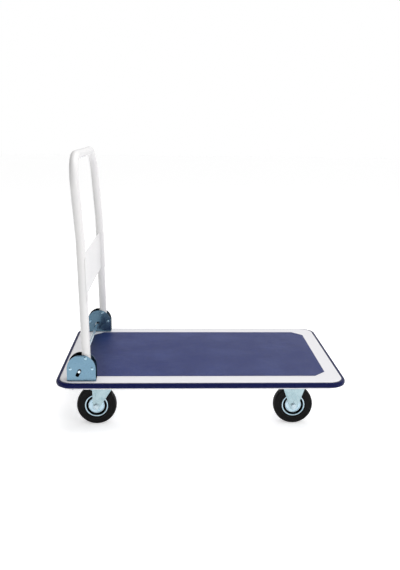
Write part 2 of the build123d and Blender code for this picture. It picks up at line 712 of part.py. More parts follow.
# ---- wheels ------------------------------------------------------------------------
# Each axle is a bolt through the fork, with a sleeve between the legs. The hub turns on the sleeve.
axle_groups = {
    "fixed": [wheels["fixed_near"], wheels["fixed_far"]],
    "swivel_near": [wheels["swivel_near"]],
    "swivel_far": [wheels["swivel_far"]],
}
for group_name, centres in axle_groups.items():
    with BuildPart() as axle_bolt:
        for x, y in centres:
            outward = 1 if y > 0 else -1
            head_plane = Plane(
                origin=(x, y + outward * outer_face, wheel_radius), x_dir=(1, 0, 0), z_dir=(0, outward, 0)
            )
            with BuildSketch(head_plane):
                RegularPolygon(hex_radius, 6, major_radius=False)
            extrude(amount=bolt_head_height)
            with BuildSketch(head_plane):
                Circle(bolt_radius)
            extrude(amount=-(2 * outer_face + nut_height + axle_bolt_spare))
    save(axle_bolt.part, f"axle_bolt_{group_name}")

    with BuildPart() as axle_nut:
        for x, y in centres:
            inward = -1 if y > 0 else 1
            nut_plane = Plane(
                origin=(x, y + inward * outer_face, wheel_radius), x_dir=(1, 0, 0), z_dir=(0, inward, 0)
            )
            with BuildSketch(nut_plane):
                RegularPolygon(hex_radius, 6, major_radius=False)
                Circle(bolt_radius + fit_gap, mode=Mode.SUBTRACT)
            extrude(amount=nut_height)
    save(axle_nut.part, f"axle_nut_{group_name}")

    with BuildPart() as axle_sleeve:
        for x, y in centres:
            with BuildSketch(across(x, wheel_radius, y)):
                Circle(sleeve_radius)
                Circle(bolt_radius + fit_gap, mode=Mode.SUBTRACT)
            extrude(amount=fork_inside_half, both=True)
    save(axle_sleeve.part, f"axle_sleeve_{group_name}")

rim_back = free_gap / 2
rim_section = [
    (hub_radius + fit_gap, rim_face_offset),
    (rim_groove_inner, rim_face_offset),
    (rim_groove_inner, rim_back + rim_sheet),
    (rim_seat_radius, rim_back + rim_sheet),
    (rim_seat_radius, rim_flange_offset),
    (rim_flange_radius, rim_flange_offset),
    (rim_flange_radius, rim_flange_offset - rim_sheet),
    (rim_seat_radius + rim_sheet, rim_flange_offset - rim_sheet),
    (rim_seat_radius + rim_sheet, rim_back),
    (rim_groove_inner - rim_sheet, rim_back),
    (rim_groove_inner - rim_sheet, rim_face_offset - rim_sheet),
    (hub_radius + fit_gap, rim_face_offset - rim_sheet),
]
for wheel_name, (x, y) in wheels.items():
    # section plane: local x is the radius, local y runs along the axle
    section = Plane(origin=(x, y, wheel_radius), x_dir=(1, 0, 0), z_dir=(0, 0, 1))
    axle = Axis((x, y, wheel_radius), (0, 1, 0))
    with BuildPart() as tyre:
        with BuildSketch(section) as tyre_section:
            with BuildLine():
                bead = rim_flange_offset - rim_sheet - fit_gap
                wall = tyre_width / 2
                shoulder = wheel_radius - tyre_shoulder_drop
                bead_top = rim_flange_radius + bead_gap
                Polyline(
                    (shoulder, -wall), (bead_top + bead_bevel, -wall), (bead_top, -bead),
                    (tyre_bore_radius, -bead), (tyre_bore_radius, bead),
                    (bead_top, bead), (bead_top + bead_bevel, wall), (shoulder, wall),
                )
                ThreePointArc((shoulder, wall), (wheel_radius, 0), (shoulder, -wall))
            make_face()
        revolve(axis=axle)
    save(tyre.part, f"tyre_{wheel_name}")

    with BuildPart() as rim:
        for end in (-1, 1):
            with BuildSketch(section):
                with BuildLine():
                    Polyline(*[(r, end * offset_y) for r, offset_y in rim_section], close=True)
                make_face()
            revolve(axis=axle)
    save(rim.part, f"rim_{wheel_name}")

    with BuildPart() as hub:
        with BuildSketch(across(x, wheel_radius, y)):
            Circle(hub_radius)
            Circle(sleeve_radius + running_gap, mode=Mode.SUBTRACT)
        extrude(amount=fork_inside_half - side_gap, both=True)
    save(hub.part, f"hub_{wheel_name}")
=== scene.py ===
import json
import math

import bmesh
import bpy
from mathutils import Matrix, Vector


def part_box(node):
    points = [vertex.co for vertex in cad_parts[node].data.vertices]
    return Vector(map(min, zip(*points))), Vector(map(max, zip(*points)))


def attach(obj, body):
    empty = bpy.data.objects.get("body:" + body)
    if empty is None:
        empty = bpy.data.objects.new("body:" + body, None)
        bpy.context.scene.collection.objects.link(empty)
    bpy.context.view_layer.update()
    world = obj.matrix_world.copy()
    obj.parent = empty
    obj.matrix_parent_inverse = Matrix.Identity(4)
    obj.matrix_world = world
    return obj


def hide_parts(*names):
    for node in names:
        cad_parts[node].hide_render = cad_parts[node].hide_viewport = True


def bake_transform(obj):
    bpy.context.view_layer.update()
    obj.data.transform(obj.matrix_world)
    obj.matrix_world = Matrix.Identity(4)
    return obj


# A folding platform cart. The CAD frame is loaded first; every finer piece is placed from it.
# Lengths named in millimetres are multiplied by MM, everything else is in metres.
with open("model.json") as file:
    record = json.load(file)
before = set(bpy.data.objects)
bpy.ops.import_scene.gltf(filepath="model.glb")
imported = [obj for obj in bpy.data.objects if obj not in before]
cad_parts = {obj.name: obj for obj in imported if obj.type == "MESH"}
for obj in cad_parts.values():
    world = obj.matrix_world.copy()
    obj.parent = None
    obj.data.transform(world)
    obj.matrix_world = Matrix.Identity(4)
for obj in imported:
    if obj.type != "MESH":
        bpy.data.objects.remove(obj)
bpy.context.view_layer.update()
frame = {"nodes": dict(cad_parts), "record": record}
MM = 0.001

SIDES = {"near": -1, "far": 1}
WHEELS = ("fixed_near", "fixed_far", "swivel_near", "swivel_far")


def middle(node_name):
    """The middle of a CAD node's box."""
    low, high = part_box(node_name)
    return (low + high) / 2


# ---- materials -----------------------------------------------------------------------
def paint(hex_colour):
    """An sRGB hex colour as the linear colour that shaders take."""
    channels = [int(hex_colour[i:i + 2], 16) / 255 for i in (0, 2, 4)]
    linear = [c / 12.92 if c <= 0.04045 else ((c + 0.055) / 1.055) ** 2.4 for c in channels]
    return (*linear, 1.0)


def per_metre(millimetres):
    """The texture scale whose features are this many millimetres across."""
    return 1 / (millimetres * MM)


def node(tree, kind, settings=None, inputs=None):
    """Adds a node, with its settings. An input is a value, or a (node, output) pair to link from."""
    made = tree.nodes.new(kind)
    for name, value in (settings or {}).items():
        setattr(made, name, value)
    for name, value in (inputs or {}).items():
        if isinstance(value, tuple) and isinstance(value[0], bpy.types.Node):
            tree.links.new(value[0].outputs[value[1]], made.inputs[name])
        else:
            made.inputs[name].default_value = value
    return made


def new_material(name, shader_inputs):
    """A material with a Principled shader, and the Object coordinates that its patterns read."""
    material = bpy.data.materials.new(name)
    material.use_nodes = True
    tree = material.node_tree
    tree.nodes.clear()
    shader = node(tree, "ShaderNodeBsdfPrincipled", {}, shader_inputs)
    node(tree, "ShaderNodeOutputMaterial", {}, {"Surface": (shader, "BSDF")})
    place = node(tree, "ShaderNodeTexCoord")
    return material, tree, shader, (place, "Object")


def plug_in(tree, source, output, shader, socket):
    """Links a pattern to one of the shader's sockets."""
    tree.links.new(source.outputs[output], shader.inputs[socket])


def gloss_enamel(name, light, shade, grain_mm):
    """Stove enamel on pressed steel, sprayed and baked: a glossy skin with a faint orange peel,
    and tone that drifts a little where the coat is thin."""
    material, tree, shader, place = new_material(name, {
        "IOR": 1.52, "Coat Weight": 0.15, "Coat Roughness": 0.2,
    })
    drift = node(tree, "ShaderNodeTexNoise", {}, {
        "Vector": place, "Scale": per_metre(140), "Detail": 3.0,
    })
    tone = node(tree, "ShaderNodeMix", {"data_type": "RGBA"}, {
        0: (drift, "Fac"), 6: paint(shade), 7: paint(light),
    })
    rub = node(tree, "ShaderNodeTexNoise", {}, {
        "Vector": place, "Scale": per_metre(60), "Detail": 2.0,
    })
    dull = node(tree, "ShaderNodeMapRange", {}, {
        "Value": (rub, "Fac"), "From Min": 0.3, "From Max": 0.7, "To Min": 0.28, "To Max": 0.32,
    })
    peel = node(tree, "ShaderNodeTexNoise", {}, {
        "Vector": place, "Scale": per_metre(grain_mm), "Detail": 2.0,
    })
    relief = node(tree, "ShaderNodeBump", {}, {
        "Height": (peel, "Fac"), "Strength": 0.1, "Distance": 0.02 * MM,
    })
    plug_in(tree, tone, 2, shader, "Base Color")
    plug_in(tree, dull, 0, shader, "Roughness")
    plug_in(tree, relief, 0, shader, "Normal")
    return material


def powder_coat(name, light, shade):
    """Epoxy powder baked on steel tube: satin white with a fine pebbled skin."""
    material, tree, shader, place = new_material(name, {"IOR": 1.5, "Coat Weight": 0.12})
    drift = node(tree, "ShaderNodeTexNoise", {}, {
        "Vector": place, "Scale": per_metre(90), "Detail": 4.0,
    })
    tone = node(tree, "ShaderNodeMix", {"data_type": "RGBA"}, {
        0: (drift, "Fac"), 6: paint(shade), 7: paint(light),
    })
    pebble = node(tree, "ShaderNodeTexNoise", {}, {
        "Vector": place, "Scale": per_metre(1.3), "Detail": 3.0, "Roughness": 0.6,
    })
    satin = node(tree, "ShaderNodeMapRange", {}, {
        "Value": (pebble, "Fac"), "To Min": 0.3, "To Max": 0.5,
    })
    relief = node(tree, "ShaderNodeBump", {}, {
        "Height": (pebble, "Fac"), "Strength": 0.4, "Distance": 0.05 * MM,
    })
    plug_in(tree, tone, 2, shader, "Base Color")
    plug_in(tree, satin, 0, shader, "Roughness")
    plug_in(tree, relief, 0, shader, "Normal")
    return material


def grained_vinyl(name, crown, crease_shade, worn, pebble_mm):
    """Calendered PVC sheet with a rolled leather grain: small pebbles with painted shade in their
    creases, a slight bloom where feet and boxes have polished it, and a painted shadow at the handle
    end."""
    material, tree, shader, place = new_material(name, {
        "IOR": 1.53, "Specular IOR Level": 0.24, "Sheen Weight": 0.02, "Sheen Roughness": 0.4,
    })
    warp = node(tree, "ShaderNodeTexNoise", {}, {
        "Vector": place, "Scale": per_metre(4), "Detail": 2.0,
    })
    bent = node(tree, "ShaderNodeVectorMath", {"operation": "MULTIPLY_ADD"}, {
        0: (warp, "Color"), 1: (0.6 * MM, 0.6 * MM, 0.6 * MM), 2: place,
    })
    pebbles = node(tree, "ShaderNodeTexVoronoi", {"feature": "DISTANCE_TO_EDGE"}, {
        "Vector": (bent, "Vector"), "Scale": per_metre(pebble_mm),
    })
    crease_edge = node(tree, "ShaderNodeMapRange", {"interpolation_type": "SMOOTHSTEP"}, {
        "Value": (pebbles, "Distance"), "From Min": 0.0, "From Max": 0.22,
    })
    # Painted shade: the creases between the pebbles are coloured darker than their crowns.
    grain = node(tree, "ShaderNodeMix", {"data_type": "RGBA"}, {
        0: (crease_edge, 0), 6: paint(crease_shade), 7: paint(crown),
    })
    patches = node(tree, "ShaderNodeTexNoise", {}, {
        "Vector": place, "Scale": per_metre(110), "Detail": 5.0, "Roughness": 0.6,
    })
    bloom = node(tree, "ShaderNodeMapRange", {}, {
        "Value": (patches, "Fac"), "From Min": 0.45, "From Max": 0.75, "To Max": 0.45,
    })
    tone = node(tree, "ShaderNodeMix", {"data_type": "RGBA"}, {
        0: (bloom, 0), 6: (grain, 2), 7: paint(worn),
    })
    dull = node(tree, "ShaderNodeMapRange", {}, {
        "Value": (patches, "Fac"), "From Min": 0.3, "From Max": 0.7, "To Min": 0.42, "To Max": 0.32,
    })
    relief = node(tree, "ShaderNodeBump", {}, {
        "Height": (crease_edge, 0), "Strength": 0.6, "Distance": 0.12 * MM,
    })
    # Painted shadow: the mat's colour darkens towards the handle end, standing in for the shade cast
    # by the handle panel.
    parts = node(tree, "ShaderNodeSeparateXYZ", {}, {"Vector": place})
    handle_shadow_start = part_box("deck_mat")[0].x - 8 * MM
    handle_shadow_length = 110 * MM
    handle_shadow = node(tree, "ShaderNodeMapRange", {"interpolation_type": "SMOOTHSTEP"}, {
        "Value": (parts, "X"), "From Min": handle_shadow_start, "From Max": handle_shadow_start + handle_shadow_length,
        "To Min": 0.6, "To Max": 0.0,
    })
    shadowed_tone = node(tree, "ShaderNodeMix", {"data_type": "RGBA"}, {
        0: (handle_shadow, 0), 6: (tone, 2), 7: paint("070B1E"),
    })
    plug_in(tree, shadowed_tone, 2, shader, "Base Color")
    plug_in(tree, dull, 0, shader, "Roughness")
    plug_in(tree, relief, 0, shader, "Normal")
    return material


def extruded_vinyl(name, body, scuff):
    """Extruded PVC edging: a smooth glossy strip with fine draw lines and a few dull scuffs."""
    material, tree, shader, place = new_material(name, {"IOR": 1.53, "Specular IOR Level": 0.1})
    along = node(tree, "ShaderNodeMapping", {}, {"Vector": place, "Scale": (0.06, 0.06, 1.0)})
    lines = node(tree, "ShaderNodeTexNoise", {}, {
        "Vector": (along, "Vector"), "Scale": per_metre(1.2), "Detail": 3.0,
    })
    knocks = node(tree, "ShaderNodeTexNoise", {}, {
        "Vector": place, "Scale": per_metre(30), "Detail": 8.0, "Roughness": 0.7,
    })
    scuffed = node(tree, "ShaderNodeMapRange", {}, {
        "Value": (knocks, "Fac"), "From Min": 0.56, "From Max": 0.72, "To Max": 0.6,
    })
    tone = node(tree, "ShaderNodeMix", {"data_type": "RGBA"}, {
        0: (scuffed, 0), 6: paint(body), 7: paint(scuff),
    })
    dull = node(tree, "ShaderNodeMapRange", {}, {
        "Value": (knocks, "Fac"), "From Min": 0.4, "From Max": 0.7, "To Min": 0.24, "To Max": 0.46,
    })
    relief = node(tree, "ShaderNodeBump", {}, {
        "Height": (lines, "Fac"), "Strength": 0.25, "Distance": 0.05 * MM,
    })
    plug_in(tree, tone, 2, shader, "Base Color")
    plug_in(tree, dull, 0, shader, "Roughness")
    plug_in(tree, relief, 0, shader, "Normal")
    return material


def zinc_plate(name, light, shade, patch_mm, rough_low, rough_high, inside_shade=None, shade_band=None):
    """Bright zinc electroplate with a blue passivation: glossy metal whose blue drifts in soft
    patches, with hairline brush marks from the sheet below it. Painted shade inside a channel,
    in (handle end, load end) colours, darkens the faces in a band of (lowest, highest) distance from
    the centre line."""
    material, tree, shader, place = new_material(name, {"Metallic": 1.0})
    patches = node(tree, "ShaderNodeTexNoise", {}, {
        "Vector": place, "Scale": per_metre(patch_mm), "Detail": 4.0, "Distortion": 0.6,
    })
    spread = node(tree, "ShaderNodeMapRange", {}, {
        "Value": (patches, "Fac"), "From Min": 0.32, "From Max": 0.68,
    })
    tone = node(tree, "ShaderNodeMix", {"data_type": "RGBA"}, {
        0: (spread, 0), 6: paint(shade), 7: paint(light),
    })
    hairlines = node(tree, "ShaderNodeMapping", {}, {"Vector": place, "Scale": (0.05, 1.0, 1.0)})
    brush = node(tree, "ShaderNodeTexNoise", {}, {
        "Vector": (hairlines, "Vector"), "Scale": per_metre(0.8), "Detail": 2.0,
    })
    dull = node(tree, "ShaderNodeMapRange", {}, {
        "Value": (patches, "Fac"), "From Min": 0.3, "From Max": 0.7,
        "To Min": rough_low, "To Max": rough_high,
    })
    relief = node(tree, "ShaderNodeBump", {}, {
        "Height": (brush, "Fac"), "Strength": 0.12, "Distance": 0.04 * MM,
    })
    colour = tone
    # Painted shade: the faces inside the bracket's channel are darkened, darkest on the handle side
    # of the pivot.
    if inside_shade:
        parts = node(tree, "ShaderNodeSeparateXYZ", {}, {"Vector": place})
        out = node(tree, "ShaderNodeMath", {"operation": "ABSOLUTE"}, {0: (parts, "Y")})
        above = node(tree, "ShaderNodeMapRange", {}, {
            "Value": (out, 0), "From Min": shade_band[0], "From Max": shade_band[0] + 0.4 * MM,
        })
        below = node(tree, "ShaderNodeMapRange", {}, {
            "Value": (out, 0), "From Min": shade_band[1] - 0.4 * MM, "From Max": shade_band[1],
            "To Min": 1.0, "To Max": 0.0,
        })
        inside = node(tree, "ShaderNodeMath", {"operation": "MULTIPLY"}, {
            0: (above, 0), 1: (below, 0),
        })
        pivot_x = middle("pivot_pins").x
        towards_load = node(tree, "ShaderNodeMapRange", {}, {
            "Value": (parts, "X"), "From Min": pivot_x - 4 * MM, "From Max": pivot_x + 12 * MM,
        })
        shaded_inside = node(tree, "ShaderNodeMix", {"data_type": "RGBA"}, {
            0: (towards_load, 0), 6: paint(inside_shade[0]), 7: paint(inside_shade[1]),
        })
        colour = node(tree, "ShaderNodeMix", {"data_type": "RGBA"}, {
            0: (inside, 0), 6: (tone, 2), 7: (shaded_inside, 2),
        })
    plug_in(tree, colour, 2, shader, "Base Color")
    plug_in(tree, dull, 0, shader, "Roughness")
    plug_in(tree, relief, 0, shader, "Normal")
    return material


def turned_steel(name, light, shade, line_mm, rough):
    """Machined or ground steel: grey metal with fine tool marks and a light oil film."""
    material, tree, shader, place = new_material(name, {"Metallic": 1.0})
    marks = node(tree, "ShaderNodeTexNoise", {}, {
        "Vector": place, "Scale": per_metre(line_mm), "Detail": 5.0, "Roughness": 0.65,
    })
    tone = node(tree, "ShaderNodeMix", {"data_type": "RGBA"}, {
        0: (marks, "Fac"), 6: paint(shade), 7: paint(light),
    })
    dull = node(tree, "ShaderNodeMapRange", {}, {
        "Value": (marks, "Fac"), "To Min": rough * 0.7, "To Max": rough * 1.3,
    })
    relief = node(tree, "ShaderNodeBump", {}, {
        "Height": (marks, "Fac"), "Strength": 0.15, "Distance": 0.04 * MM,
    })
    plug_in(tree, tone, 2, shader, "Base Color")
    plug_in(tree, dull, 0, shader, "Roughness")
    plug_in(tree, relief, 0, shader, "Normal")
    return material


def moulded_rubber(name, body, bloom, rough):
    """Compression-moulded rubber or plastic: near black and matt, with a grey bloom in patches
    and the pitted skin of the mould."""
    material, tree, shader, place = new_material(name, {"IOR": 1.52, "Specular IOR Level": 0.14})
    patches = node(tree, "ShaderNodeTexNoise", {}, {
        "Vector": place, "Scale": per_metre(26), "Detail": 6.0, "Roughness": 0.65,
    })
    dusty = node(tree, "ShaderNodeMapRange", {}, {
        "Value": (patches, "Fac"), "From Min": 0.5, "From Max": 0.78, "To Max": 0.55,
    })
    tone = node(tree, "ShaderNodeMix", {"data_type": "RGBA"}, {
        0: (dusty, 0), 6: paint(body), 7: paint(bloom),
    })
    dull = node(tree, "ShaderNodeMapRange", {}, {
        "Value": (patches, "Fac"), "From Min": 0.3, "From Max": 0.7,
        "To Min": rough - 0.1, "To Max": rough + 0.1,
    })
    skin = node(tree, "ShaderNodeTexNoise", {}, {
        "Vector": place, "Scale": per_metre(0.7), "Detail": 3.0,
    })
    relief = node(tree, "ShaderNodeBump", {}, {
        "Height": (skin, "Fac"), "Strength": 0.3, "Distance": 0.05 * MM,
    })
    plug_in(tree, tone, 2, shader, "Base Color")
    plug_in(tree, dull, 0, shader, "Roughness")
    plug_in(tree, relief, 0, shader, "Normal")
    return material


bracket_low, bracket_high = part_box("bracket_far")
bracket_sheet = 2.0 * MM
# The faces inside the bracket's channel, which get painted shade.
inside_faces = (bracket_low.y + 0.6 * bracket_sheet, bracket_high.y - 0.6 * bracket_sheet)
FINISHES = {
    "deck_enamel": gloss_enamel("stove_enamel_white", "EDECEE", "E6E5E9", 1.8),
    "frame_enamel": gloss_enamel("stove_enamel_frame", "E6E6E8", "D9DADD", 2.2),
    "handle_enamel": powder_coat("epoxy_powder_white", "E6E4E3", "DCDCDD"),
    "mat_vinyl": grained_vinyl("calendered_vinyl_blue", "1C3078", "101D50", "24397F", 1.1),
    "bumper_vinyl": extruded_vinyl("extruded_vinyl_navy", "050E45", "101B56"),
    "bracket_zinc": zinc_plate(
        "blue_passivated_zinc_bracket", "7798AC", "6C8CA1", 24, 0.2, 0.36,
        # Painted shade inside the bracket channel, in (handle end, load end) colours.
        ("0D1522", "34495B"), inside_faces,
    ),
    "fork_zinc": zinc_plate("blue_passivated_zinc_fork", "A9BEC4", "8EA6AD", 18, 0.2, 0.34),
    "rim_zinc": zinc_plate("blue_passivated_zinc_rim", "C6DBE6", "AAC5D3", 14, 0.22, 0.36),
    "rod_zinc": zinc_plate("blue_passivated_zinc_rod", "E8F3FA", "CDE2EF", 16, 0.14, 0.26),
    "pin_zinc": zinc_plate("blue_passivated_zinc_pin", "B4D2E0", "8FB4C8", 8, 0.18, 0.3),
    "bolt_zinc": zinc_plate("blue_passivated_zinc_bolt", "C3D3DA", "9FB2BC", 7, 0.2, 0.34),
    "hub_steel": turned_steel("turned_steel_hub", "B9BDBF", "85898C", 0.9, 0.34),
    "ball_steel": turned_steel("ground_steel_ball", "C8CACC", "A0A3A6", 1.5, 0.14),
    "spring_steel": turned_steel("oiled_spring_steel", "3B3D42", "1C1D21", 1.2, 0.3),
    "plug_plastic": moulded_rubber("moulded_polyethylene_plug", "141416", "2A2A2E", 0.5),
    "tyre_rubber": moulded_rubber("moulded_rubber_tyre", "070607", "100F11", 0.55),
}
SLOT_OF_NODE = {part["node"]: part["material_slot"] for part in frame["record"]["subparts"]}
BODY_OF_NODE = {
    name: body
    for body, names in frame["record"]["behaviour"]["bodies"].items()
    for name in names
}
for node_name, cad_object in frame["nodes"].items():
    cad_object.data.materials.clear()
    cad_object.data.materials.append(FINISHES[SLOT_OF_NODE[node_name]])


# ---- modelling -----------------------------------------------------------------------
def take_up(piece):
    """Leaves this piece alone selected and active, in object mode."""
    if bpy.context.mode != "OBJECT":
        bpy.ops.object.mode_set(mode="OBJECT")
    bpy.ops.object.select_all(action="DESELECT")
    piece.select_set(True)
    bpy.context.view_layer.objects.active = piece


def pick(kind, test):
    """In edit mode, selects just the verts, edges or faces that pass the test."""
    bpy.ops.mesh.select_mode(type=kind.upper())
    bpy.ops.mesh.select_all(action="DESELECT")
    mesh = bmesh.from_edit_mesh(bpy.context.object.data)
    for element in {"vert": mesh.verts, "edge": mesh.edges, "face": mesh.faces}[kind]:
        element.select_set(test(element))
    mesh.select_flush_mode()
    bmesh.update_edit_mesh(bpy.context.object.data)


def apply_modifiers(piece):
    """Applies the piece's modifiers, in order."""
    take_up(piece)
    for modifier in list(piece.modifiers):
        bpy.ops.object.modifier_apply(modifier=modifier.name)


def round_edges(piece, width, segments=3, corner=35):
    """Rounds every edge sharper than corner degrees, and keeps the flat faces flat in shade."""
    take_up(piece)
    bpy.ops.object.shade_smooth()
    bevel = piece.modifiers.new("rounded", "BEVEL")
    bevel.width = width
    bevel.segments = segments
    bevel.limit_method = "ANGLE"
    bevel.angle_limit = math.radians(corner)
    bevel.use_clamp_overlap = True
    bevel.harden_normals = True
    apply_modifiers(piece)


def finish_piece(piece, body, slot_name, *stands_for):
    """Puts the piece's place in its mesh, gives it its finish, and lets it ride on its body."""
    take_up(piece)
    bpy.ops.object.transform_apply(location=True, rotation=True, scale=True)
    if not piece.data.materials:
        piece.data.materials.append(FINISHES[slot_name])
    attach(piece, body)
    if stands_for:
        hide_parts(*stands_for)
    return piece


def named(name):
    """Names the primitive that was just added."""
    piece = bpy.context.object
    piece.name = name
    piece.data.name = name
    return piece


def join_pieces(pieces, name):
    """Joins pieces into the first of them."""
    take_up(pieces[0])
    for piece in pieces[1:]:
        piece.select_set(True)
    if len(pieces) > 1:
        bpy.ops.object.join()
    return named(name)


def copy_at(piece, name, shift):
    """A copy of a piece with its own mesh, moved by shift."""
    twin = piece.copy()
    twin.data = piece.data.copy()
    twin.name = name
    twin.data.name = name
    twin.location = piece.location + Vector(shift)
    bpy.context.scene.collection.objects.link(twin)
    return twin


def turned(name, profile, centre, axis, steps=72):
    """Spins a profile of (radius, along the axis) points about the axis through centre. A
    profile that starts and ends at radius 0 makes a solid, and any other is closed to a ring."""
    bpy.ops.object.select_all(action="DESELECT")
    bpy.ops.mesh.primitive_plane_add(size=MM, location=centre)
    piece = named(name)
    along = Vector(axis)
    outward = Vector((1, 0, 0))
    points = [outward * radius + along * rise for radius, rise in profile]
    if profile[0][0] > 0:
        points.append(points[0])
    bpy.ops.object.mode_set(mode="EDIT")
    bpy.ops.mesh.select_mode(type="VERT")
    bpy.ops.mesh.select_all(action="SELECT")
    bpy.ops.mesh.merge(type="CENTER")
    bpy.ops.transform.translate(value=points[0])
    for start, end in zip(points, points[1:]):
        bpy.ops.mesh.extrude_vertices_move(TRANSFORM_OT_translate={"value": end - start})
    bpy.ops.mesh.select_all(action="SELECT")
    bpy.ops.mesh.spin(steps=steps, angle=math.tau, center=centre, axis=axis)
    bpy.ops.mesh.select_all(action="SELECT")
    bpy.ops.mesh.remove_doubles(threshold=0.001 * MM)
    bpy.ops.mesh.normals_make_consistent(inside=False)
    bpy.ops.object.mode_set(mode="OBJECT")
    return piece


def softened(node_name, piece_name, width, segments=3, corner=35):
    """A finer copy of a CAD node: its triangles are merged into faces and its edges rounded."""
    piece = bpy.data.objects.new(piece_name, frame["nodes"][node_name].data.copy())
    piece.data.name = piece_name
    piece.data.materials.clear()
    bpy.context.scene.collection.objects.link(piece)
    take_up(piece)
    bpy.ops.mesh.customdata_custom_splitnormals_clear()
    bpy.ops.object.mode_set(mode="EDIT")
    bpy.ops.mesh.select_all(action="SELECT")
    bpy.ops.mesh.remove_doubles(threshold=0.002 * MM)
    bpy.ops.mesh.mark_sharp(clear=True)
    bpy.ops.mesh.dissolve_limited(angle_limit=math.radians(0.6))
    bpy.ops.object.mode_set(mode="OBJECT")
    round_edges(piece, width, segments, corner)
    return piece


# ---- wheels --------------------------------------------------------------------------
tyre_low, tyre_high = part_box("tyre_fixed_near")
wheel_radius = (tyre_high.z - tyre_low.z) / 2
tyre_half = (tyre_high.y - tyre_low.y) / 2
rim_low, rim_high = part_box("rim_fixed_near")
rim_half = (rim_high.y - rim_low.y) / 2
flange_radius = (rim_high.z - rim_low.z) / 2
sheet = 1.2 * MM
bead_radius = 28.15 * MM
groove_radius = 21.5 * MM
seat_radius = 26.9 * MM
disc_face = 11.0 * MM
hub_radius = 9.05 * MM


def tyre_profile():
    """Half of a solid tyre's section, outside face first: bead, sidewall ring, tread edge."""
    crown_drop = 3.5 * MM
    edge = (wheel_radius - crown_drop, tyre_half - 0.5 * MM)
    return [
        (bead_radius, rim_half - sheet - 0.05 * MM),
        (flange_radius + 0.5 * MM, rim_half - sheet - 0.05 * MM),
        (flange_radius + 1.2 * MM, tyre_half - 0.9 * MM),
        (flange_radius + 3.4 * MM, tyre_half - 0.9 * MM),
        (flange_radius + 3.9 * MM, tyre_half),
        (flange_radius + 5.1 * MM, tyre_half),
        (flange_radius + 5.6 * MM, tyre_half - 0.9 * MM),
        (wheel_radius - 7.0 * MM, tyre_half - 0.9 * MM),
        (wheel_radius - 6.4 * MM, tyre_half - 0.2 * MM),
        edge,
        (wheel_radius - 1.9 * MM, tyre_half - 2.1 * MM),
        (wheel_radius - 0.8 * MM, tyre_half - 4.6 * MM),
        (wheel_radius - 0.3 * MM, tyre_half - 8.2 * MM),
        (wheel_radius - 0.25 * MM, 0.45 * MM),
        (wheel_radius, 0.25 * MM),
    ]


def model_tyre():
    """A moulded solid tyre, with the fine flash line where the two mould halves met."""
    half = tyre_profile()
    other = [(radius, -along) for radius, along in reversed(half)]
    tyre = turned("tyre_moulding", half + other, (0, 0, 0), (0, 1, 0), 96)
    round_edges(tyre, 0.35 * MM, 2, 24)
    return tyre


def model_rim():
    """A two-piece pressed rim: each disc has a raised centre, a deep groove and a rolled flange.
    The groove faces take the black tyre rubber as painted shade, for the shade deep in the groove."""
    back = 0.15 * MM
    curl = 0.5 * sheet
    half = [
        (hub_radius, disc_face),
        (hub_radius + 4.0 * MM, disc_face),
        (hub_radius + 5.0 * MM, disc_face - 0.7 * MM),
        (groove_radius - 3.2 * MM, disc_face - 0.7 * MM),
        (groove_radius - 2.2 * MM, disc_face),
        (groove_radius - 0.9 * MM, disc_face - 0.15 * MM),
        (groove_radius, disc_face - 1.3 * MM),
        (groove_radius + 0.5 * MM, back + sheet + 1.0 * MM),
        (groove_radius + 1.6 * MM, back + sheet),
        (seat_radius - 1.1 * MM, back + sheet),
        (seat_radius, back + sheet + 1.2 * MM),
        (seat_radius, rim_half - 0.9 * MM),
        (seat_radius + 0.9 * MM, rim_half),
        (flange_radius - curl, rim_half),
        (flange_radius, rim_half - curl),
        (flange_radius - curl, rim_half - sheet),
        (seat_radius + sheet, rim_half - sheet),
        (seat_radius + sheet, back),
        (groove_radius - sheet, back),
        (groove_radius - sheet, disc_face - 2 * sheet),
        (hub_radius, disc_face - 2 * sheet),
    ]
    discs = []
    for side in (1, -1):
        profile = [(radius, side * along) for radius, along in half]
        disc = turned("rim_disc", profile, (0, 0, 0), (0, 1, 0), 96)
        round_edges(disc, 0.28 * MM, 2, 24)
        discs.append(disc)
    rim = join_pieces(discs, "rim_pressing")
    rim.data.materials.append(FINISHES["rim_zinc"])
    # A second slot, the black tyre rubber, paints shade into the groove.
    rim.data.materials.append(FINISHES["tyre_rubber"])
    bpy.ops.object.mode_set(mode="EDIT")

    # Painted shade: the faces deep in the groove are picked for the black rubber.
    def in_groove(face):
        place = face.calc_center_median()
        radius = math.hypot(place.x, place.z)
        deep = abs(place.y) < rim_half - 1.6 * MM
        return groove_radius - 0.1 * MM < radius < seat_radius + 0.1 * MM and deep

    pick("face", in_groove)
    rim.active_material_index = 1
    bpy.ops.object.material_slot_assign()
    bpy.ops.object.mode_set(mode="OBJECT")
    return rim


def model_hub():
    """A turned hub, its ends chamfered and relieved where they run on the fork."""
    low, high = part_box("hub_fixed_near")
    half = (high.y - low.y) / 2
    bore = 6.06 * MM
    outer = 9.0 * MM
    chamfer = 0.8 * MM
    profile = [
        (bore, half), (outer - 2.0 * MM, half), (outer - chamfer, half - 0.6 * MM),
        (outer, half - 0.6 * MM - chamfer), (outer, -half + 0.6 * MM + chamfer),
        (outer - chamfer, -half + 0.6 * MM), (outer - 2.0 * MM, -half), (bore, -half),
    ]
    hub = turned("hub_barrel", profile, (0, 0, 0), (0, 1, 0), 64)
    round_edges(hub, 0.15 * MM, 2)
    return hub


